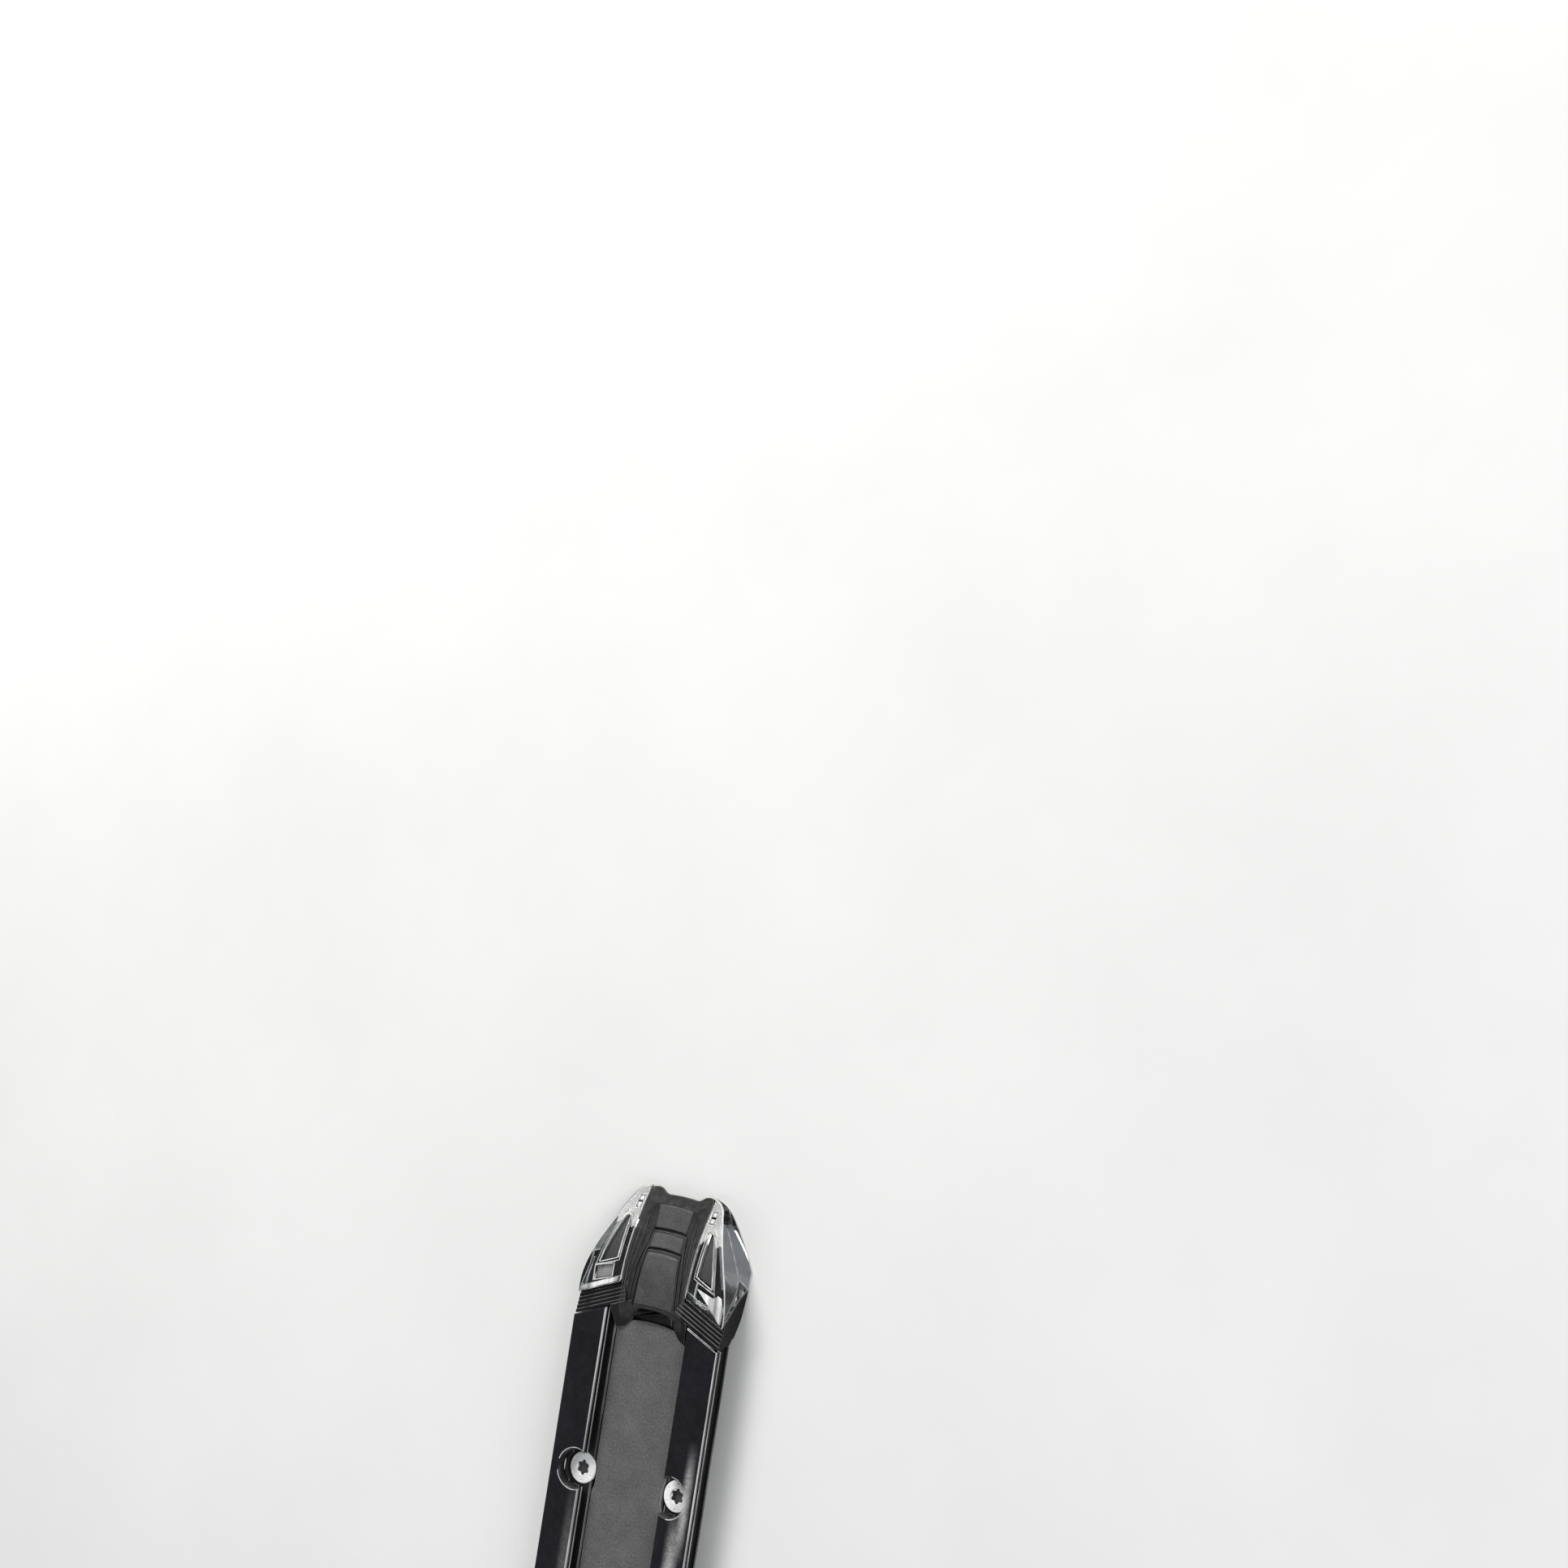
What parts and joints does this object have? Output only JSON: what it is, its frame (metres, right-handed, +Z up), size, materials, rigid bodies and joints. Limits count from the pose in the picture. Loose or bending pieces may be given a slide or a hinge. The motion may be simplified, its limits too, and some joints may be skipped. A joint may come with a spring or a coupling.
{
  "type": "ski binding front mounting track",
  "caption": "Low plate with two T rails, screwed to a ski for a sliding toe piece, with a floating centre band and a clip-on end cap with clear side lenses.",
  "frame": {"origin": "middle of the four mounting screws' pattern, on the underside that lies on the ski", "axes": "+Z up from the ski, +Y along the ski towards its tip, +X to the right when facing the tip"},
  "size_m": [0.0568, 0.2592, 0.0199],
  "materials": {
    "base_plastic": "fine moulded grain",
    "pad_rubber": "matt rubber sheet",
    "rail_plastic": "satin, glass-filled",
    "screw_steel": "bright zinc",
    "bridge_plastic": "fine moulded grain",
    "dark_steel": "blackened",
    "band_composite": "fine-grained satin",
    "rack_steel": "spring steel",
    "cap_plastic": "satin moulded",
    "lens_clear": "clear, polished",
    "window_matt": "matt"
  },
  "bodies": {
    "track": {"track_base": "base_plastic", "damping_pad_front": "pad_rubber", "damping_pad_rear": "pad_rubber", "rail_left": "rail_plastic", "rail_right": "rail_plastic", "mounting_screw_front_left": "screw_steel", "mounting_screw_front_right": "screw_steel", "mounting_screw_rear_left": "screw_steel", "mounting_screw_rear_right": "screw_steel", "rear_bridge": "bridge_plastic", "bridge_screw_left": "dark_steel", "bridge_screw_right": "dark_steel", "float_pin": "screw_steel"},
    "band": {"centre_band": "band_composite", "lock_rack": "rack_steel", "rack_rivets": "rack_steel"},
    "cap": {"end_cap": "cap_plastic", "lens_left": "lens_clear", "lens_right": "lens_clear", "window_pad_left": "window_matt", "window_pad_right": "window_matt"}
  },
  "joints": [
    {"name": "band_float", "type": "slide", "parent": "track", "child": "band", "axis": [0, 1, 0], "range_m": [-0.0005, 0.003]},
    {"name": "cap_slide", "type": "slide", "parent": "track", "child": "cap", "axis": [0, 1, 0], "range_m": [0, 0.02]}
  ]
}
